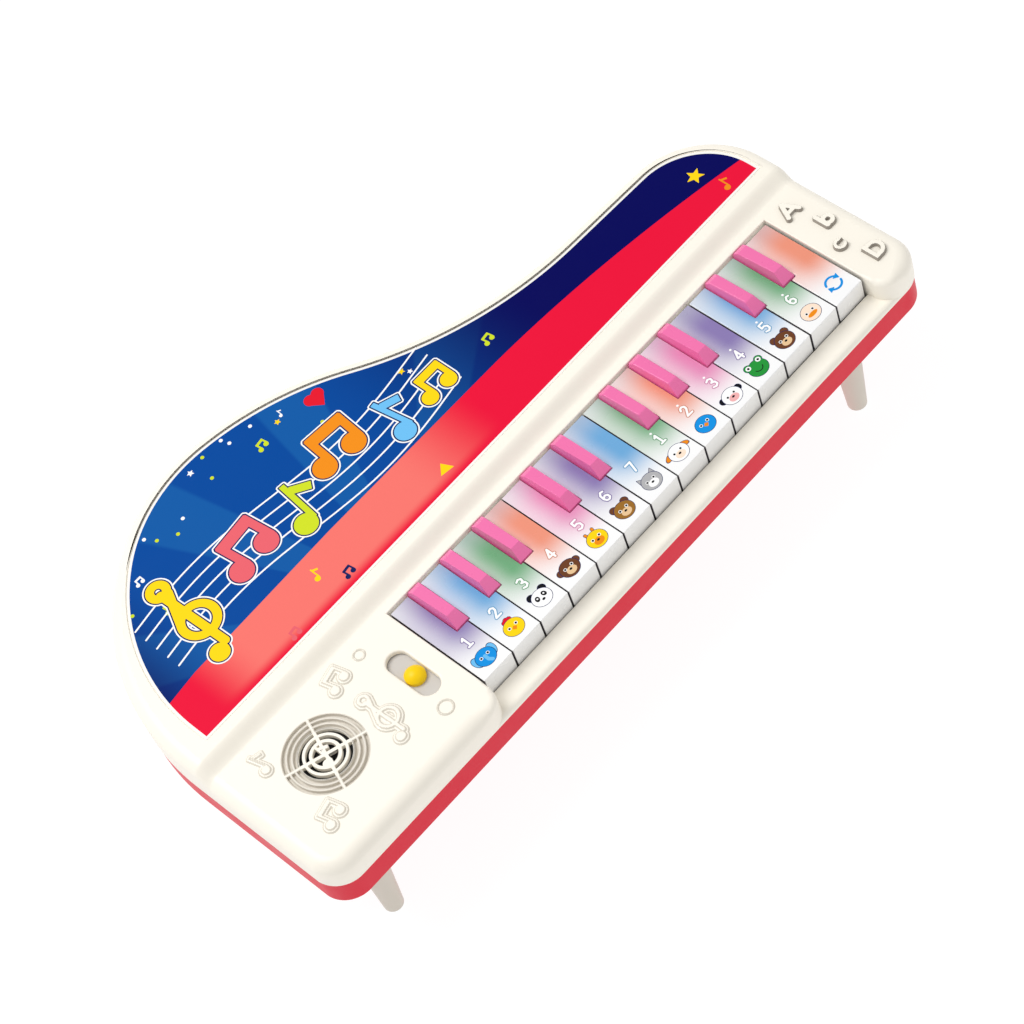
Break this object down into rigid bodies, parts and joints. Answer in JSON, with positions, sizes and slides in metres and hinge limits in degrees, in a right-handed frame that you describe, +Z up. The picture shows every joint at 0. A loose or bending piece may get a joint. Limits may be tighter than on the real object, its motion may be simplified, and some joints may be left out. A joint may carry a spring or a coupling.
{
  "type": "toy electronic keyboard",
  "caption": "Toy electronic keyboard shaped like a small grand piano on three legs, with pressing white and pink keys, slide switch, speaker grille, printed lid and battery compartment.",
  "frame": {"origin": "centre of the casing's outline in plan, on the surface that the feet stand on", "axes": "+X to the player's right along the keys, +Y away from the player towards the tail, +Z up"},
  "size_m": [0.323, 0.1726, 0.069],
  "materials": {
    "cream_plastic": "ivory-white moulded ABS, satin gloss",
    "red_plastic": "warm red moulded ABS, satin gloss",
    "label_print": "printed self-adhesive film, red and navy artwork",
    "yellow_plastic": "yellow moulded plastic",
    "grey_plastic": "light grey moulded plastic",
    "dark_plastic": "black moulded plastic",
    "plated_steel": "nickel-plated sheet steel",
    "cone_paper": "black paper speaker cone",
    "screw_steel": "zinc-plated steel",
    "board_green": "glass-epoxy circuit board with green mask",
    "contact_rubber": "grey silicone contact domes",
    "stop_felt": "dark green felt strip",
    "leg_plastic": "warm grey moulded plastic",
    "foot_rubber": "dark grey rubber pads",
    "battery_jacket": "plain green cell jacket",
    "white_key_plastic": "white moulded plastic with printed colours",
    "pink_key_plastic": "pink moulded plastic, glossy",
    "red_wire": "red insulated wire",
    "black_wire": "black insulated wire"
  },
  "bodies": {
    "casing": {"upper_shell": "cream_plastic", "lower_shell": "red_plastic", "lid_label": "label_print", "slide_switch": "dark_plastic", "speaker_frame": "plated_steel", "speaker_cone": "cone_paper", "speaker_clamp": "plated_steel", "speaker_screws": "screw_steel", "circuit_board": "board_green", "sound_chip": "dark_plastic", "capacitors": "dark_plastic", "contact_domes": "contact_rubber", "board_screws": "screw_steel", "key_rod": "screw_steel", "key_frame": "dark_plastic", "key_stop_felt": "stop_felt", "leg_front_left": "leg_plastic", "leg_front_right": "leg_plastic", "leg_tail": "leg_plastic", "foot_pads": "foot_rubber", "batteries": "battery_jacket", "battery_contacts": "plated_steel", "casing_screws": "screw_steel", "speaker_wires": "red_wire", "battery_wires": "black_wire"},
    "switch": {"switch_knob": "yellow_plastic", "switch_shield": "grey_plastic"},
    "battery_cover": {"battery_door": "red_plastic", "door_screw": "screw_steel"},
    "white_key_01": {"white_key_01": "white_key_plastic"},
    "white_key_02": {"white_key_02": "white_key_plastic"},
    "white_key_03": {"white_key_03": "white_key_plastic"},
    "white_key_04": {"white_key_04": "white_key_plastic"},
    "white_key_05": {"white_key_05": "white_key_plastic"},
    "white_key_06": {"white_key_06": "white_key_plastic"},
    "white_key_07": {"white_key_07": "white_key_plastic"},
    "white_key_08": {"white_key_08": "white_key_plastic"},
    "white_key_09": {"white_key_09": "white_key_plastic"},
    "white_key_10": {"white_key_10": "white_key_plastic"},
    "white_key_11": {"white_key_11": "white_key_plastic"},
    "white_key_12": {"white_key_12": "white_key_plastic"},
    "white_key_13": {"white_key_13": "white_key_plastic"},
    "white_key_14": {"white_key_14": "white_key_plastic"},
    "pink_key_01": {"pink_key_01": "pink_key_plastic"},
    "pink_key_02": {"pink_key_02": "pink_key_plastic"},
    "pink_key_03": {"pink_key_03": "pink_key_plastic"},
    "pink_key_04": {"pink_key_04": "pink_key_plastic"},
    "pink_key_05": {"pink_key_05": "pink_key_plastic"},
    "pink_key_06": {"pink_key_06": "pink_key_plastic"},
    "pink_key_07": {"pink_key_07": "pink_key_plastic"},
    "pink_key_08": {"pink_key_08": "pink_key_plastic"},
    "pink_key_09": {"pink_key_09": "pink_key_plastic"},
    "pink_key_10": {"pink_key_10": "pink_key_plastic"}
  },
  "joints": [
    {"name": "white_key_01_press", "type": "hinge", "parent": "casing", "child": "white_key_01", "pos_m": [0, 0.004, 0.0593], "axis": [1, 0, 0], "range_deg": [0, 2.15], "stiffness_Nm_per_rad": 0.3, "springref_deg": -2.86},
    {"name": "white_key_02_press", "type": "hinge", "parent": "casing", "child": "white_key_02", "pos_m": [0, 0.004, 0.0593], "axis": [1, 0, 0], "range_deg": [0, 2.15], "stiffness_Nm_per_rad": 0.3, "springref_deg": -2.86},
    {"name": "white_key_03_press", "type": "hinge", "parent": "casing", "child": "white_key_03", "pos_m": [0, 0.004, 0.0593], "axis": [1, 0, 0], "range_deg": [0, 2.15], "stiffness_Nm_per_rad": 0.3, "springref_deg": -2.86},
    {"name": "white_key_04_press", "type": "hinge", "parent": "casing", "child": "white_key_04", "pos_m": [0, 0.004, 0.0593], "axis": [1, 0, 0], "range_deg": [0, 2.15], "stiffness_Nm_per_rad": 0.3, "springref_deg": -2.86},
    {"name": "white_key_05_press", "type": "hinge", "parent": "casing", "child": "white_key_05", "pos_m": [0, 0.004, 0.0593], "axis": [1, 0, 0], "range_deg": [0, 2.15], "stiffness_Nm_per_rad": 0.3, "springref_deg": -2.86},
    {"name": "white_key_06_press", "type": "hinge", "parent": "casing", "child": "white_key_06", "pos_m": [0, 0.004, 0.0593], "axis": [1, 0, 0], "range_deg": [0, 2.15], "stiffness_Nm_per_rad": 0.3, "springref_deg": -2.86},
    {"name": "white_key_07_press", "type": "hinge", "parent": "casing", "child": "white_key_07", "pos_m": [0, 0.004, 0.0593], "axis": [1, 0, 0], "range_deg": [0, 2.15], "stiffness_Nm_per_rad": 0.3, "springref_deg": -2.86},
    {"name": "white_key_08_press", "type": "hinge", "parent": "casing", "child": "white_key_08", "pos_m": [0, 0.004, 0.0593], "axis": [1, 0, 0], "range_deg": [0, 2.15], "stiffness_Nm_per_rad": 0.3, "springref_deg": -2.86},
    {"name": "white_key_09_press", "type": "hinge", "parent": "casing", "child": "white_key_09", "pos_m": [0, 0.004, 0.0593], "axis": [1, 0, 0], "range_deg": [0, 2.15], "stiffness_Nm_per_rad": 0.3, "springref_deg": -2.86},
    {"name": "white_key_10_press", "type": "hinge", "parent": "casing", "child": "white_key_10", "pos_m": [0, 0.004, 0.0593], "axis": [1, 0, 0], "range_deg": [0, 2.15], "stiffness_Nm_per_rad": 0.3, "springref_deg": -2.86},
    {"name": "white_key_11_press", "type": "hinge", "parent": "casing", "child": "white_key_11", "pos_m": [0, 0.004, 0.0593], "axis": [1, 0, 0], "range_deg": [0, 2.15], "stiffness_Nm_per_rad": 0.3, "springref_deg": -2.86},
    {"name": "white_key_12_press", "type": "hinge", "parent": "casing", "child": "white_key_12", "pos_m": [0, 0.004, 0.0593], "axis": [1, 0, 0], "range_deg": [0, 2.15], "stiffness_Nm_per_rad": 0.3, "springref_deg": -2.86},
    {"name": "white_key_13_press", "type": "hinge", "parent": "casing", "child": "white_key_13", "pos_m": [0, 0.004, 0.0593], "axis": [1, 0, 0], "range_deg": [0, 2.15], "stiffness_Nm_per_rad": 0.3, "springref_deg": -2.86},
    {"name": "white_key_14_press", "type": "hinge", "parent": "casing", "child": "white_key_14", "pos_m": [0, 0.004, 0.0593], "axis": [1, 0, 0], "range_deg": [0, 2.15], "stiffness_Nm_per_rad": 0.3, "springref_deg": -2.86},
    {"name": "pink_key_01_press", "type": "hinge", "parent": "casing", "child": "pink_key_01", "pos_m": [0, 0.004, 0.0593], "axis": [1, 0, 0], "range_deg": [0, 2.15], "stiffness_Nm_per_rad": 0.3, "springref_deg": -2.86},
    {"name": "pink_key_02_press", "type": "hinge", "parent": "casing", "child": "pink_key_02", "pos_m": [0, 0.004, 0.0593], "axis": [1, 0, 0], "range_deg": [0, 2.15], "stiffness_Nm_per_rad": 0.3, "springref_deg": -2.86},
    {"name": "pink_key_03_press", "type": "hinge", "parent": "casing", "child": "pink_key_03", "pos_m": [0, 0.004, 0.0593], "axis": [1, 0, 0], "range_deg": [0, 2.15], "stiffness_Nm_per_rad": 0.3, "springref_deg": -2.86},
    {"name": "pink_key_04_press", "type": "hinge", "parent": "casing", "child": "pink_key_04", "pos_m": [0, 0.004, 0.0593], "axis": [1, 0, 0], "range_deg": [0, 2.15], "stiffness_Nm_per_rad": 0.3, "springref_deg": -2.86},
    {"name": "pink_key_05_press", "type": "hinge", "parent": "casing", "child": "pink_key_05", "pos_m": [0, 0.004, 0.0593], "axis": [1, 0, 0], "range_deg": [0, 2.15], "stiffness_Nm_per_rad": 0.3, "springref_deg": -2.86},
    {"name": "pink_key_06_press", "type": "hinge", "parent": "casing", "child": "pink_key_06", "pos_m": [0, 0.004, 0.0593], "axis": [1, 0, 0], "range_deg": [0, 2.15], "stiffness_Nm_per_rad": 0.3, "springref_deg": -2.86},
    {"name": "pink_key_07_press", "type": "hinge", "parent": "casing", "child": "pink_key_07", "pos_m": [0, 0.004, 0.0593], "axis": [1, 0, 0], "range_deg": [0, 2.15], "stiffness_Nm_per_rad": 0.3, "springref_deg": -2.86},
    {"name": "pink_key_08_press", "type": "hinge", "parent": "casing", "child": "pink_key_08", "pos_m": [0, 0.004, 0.0593], "axis": [1, 0, 0], "range_deg": [0, 2.15], "stiffness_Nm_per_rad": 0.3, "springref_deg": -2.86},
    {"name": "pink_key_09_press", "type": "hinge", "parent": "casing", "child": "pink_key_09", "pos_m": [0, 0.004, 0.0593], "axis": [1, 0, 0], "range_deg": [0, 2.15], "stiffness_Nm_per_rad": 0.3, "springref_deg": -2.86},
    {"name": "pink_key_10_press", "type": "hinge", "parent": "casing", "child": "pink_key_10", "pos_m": [0, 0.004, 0.0593], "axis": [1, 0, 0], "range_deg": [0, 2.15], "stiffness_Nm_per_rad": 0.3, "springref_deg": -2.86},
    {"name": "switch_slide", "type": "slide", "parent": "casing", "child": "switch", "axis": [0, 1, 0], "range_m": [-0.0054, 0.0066]},
    {"name": "battery_door_pull", "type": "slide", "parent": "casing", "child": "battery_cover", "axis": [0, 0, -1], "range_m": [0, 0.03]}
  ]
}
